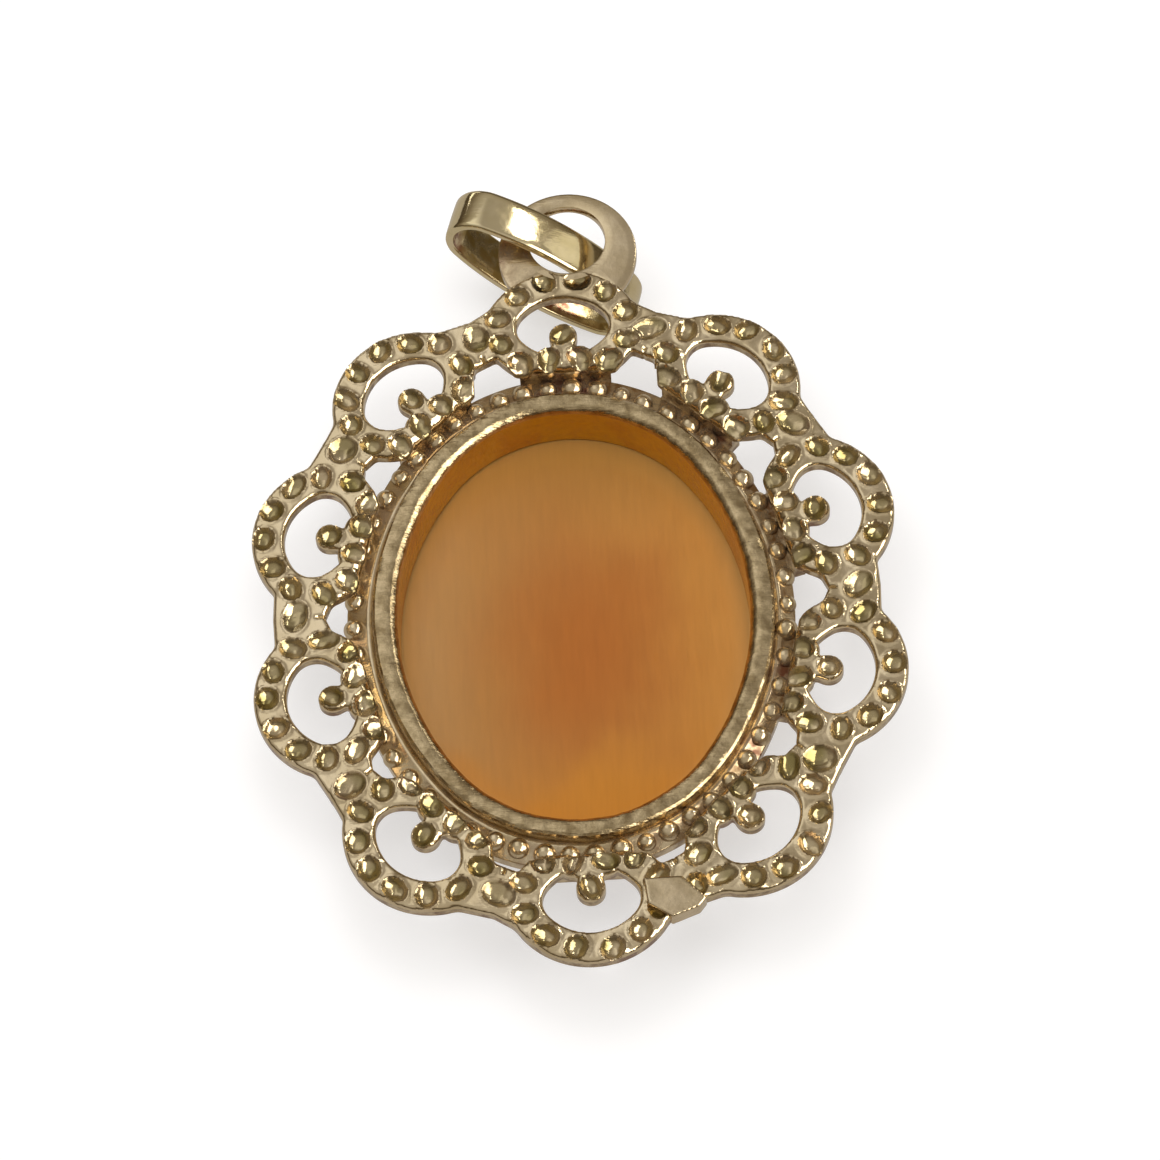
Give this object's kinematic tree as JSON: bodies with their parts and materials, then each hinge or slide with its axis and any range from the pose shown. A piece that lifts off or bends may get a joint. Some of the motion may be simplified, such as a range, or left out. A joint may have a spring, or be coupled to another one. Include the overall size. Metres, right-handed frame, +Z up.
{
  "type": "cameo pendant",
  "caption": "Oval shell cameo pendant in a pierced, dotted gold frame with a fixed ring and a loose bail, lying face down.",
  "frame": {"origin": "middle of the pendant's outline, on the surface it lies on", "axes": "+Y towards the fixed ring and bail, +Z up out of the pendant's back"},
  "size_m": [0.0208, 0.0278, 0.005],
  "materials": {
    "gold": "polished with wear",
    "gold_bail": "polished",
    "shell": "satin"
  },
  "bodies": {
    "pendant": {"mounting": "gold", "cameo": "shell"},
    "bail": {"bail": "gold_bail"}
  },
  "joints": [
    {"name": "bail_swing", "type": "hinge", "parent": "pendant", "child": "bail", "pos_m": [0.00027, 0.01209, 0.0025], "axis": [0, 0, 1], "range_deg": [-180, 25]}
  ]
}
